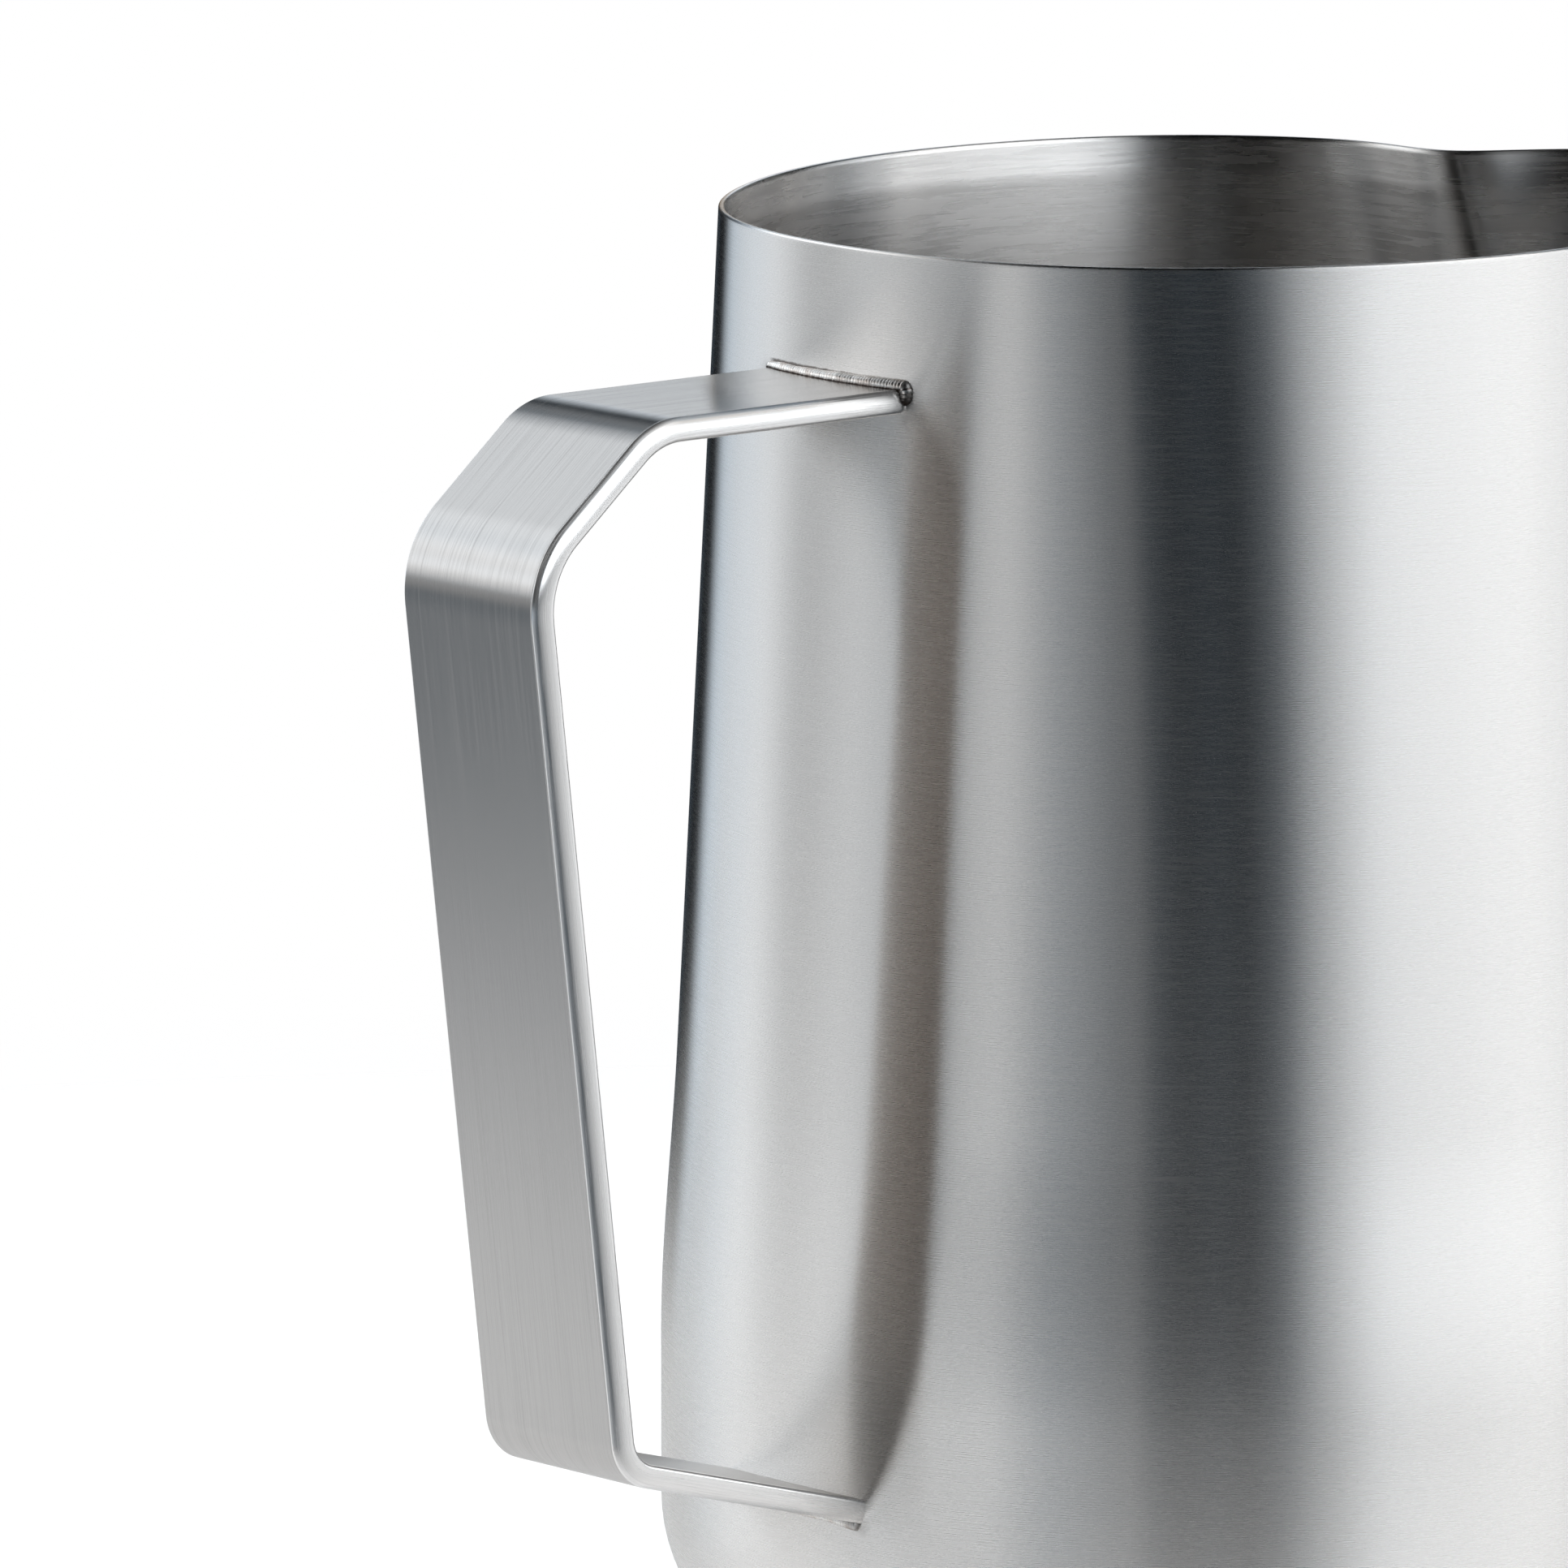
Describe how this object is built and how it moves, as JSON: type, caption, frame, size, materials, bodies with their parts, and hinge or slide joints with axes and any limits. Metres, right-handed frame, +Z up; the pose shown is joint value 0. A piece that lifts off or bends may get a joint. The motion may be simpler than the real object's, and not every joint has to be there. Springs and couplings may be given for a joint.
{
  "type": "milk frothing pitcher",
  "caption": "Tapered stainless-steel milk frothing pitcher with a round base, a pulled V-shaped pouring spout and a flat bent strap handle welded on opposite the spout.",
  "frame": {"origin": "centre of the base's underside, on the axis of the turned body", "axes": "+X from the body's axis through the spout's tip, the handle on -X, +Z up to the rim, XZ the plane of symmetry"},
  "size_m": [0.1212, 0.0864, 0.1183],
  "materials": {
    "drawn_steel": "satin, brushed round the body in fine horizontal lines",
    "strap_steel": "satin, brushed lengthwise, with polished rounded edges",
    "weld": "rippled weld metal with brown heat tint at its ends"
  },
  "bodies": {
    "root": {"pitcher_body": "drawn_steel", "handle_strap": "strap_steel", "upper_weld_bead": "weld", "lower_weld_bead": "weld"}
  },
  "joints": []
}
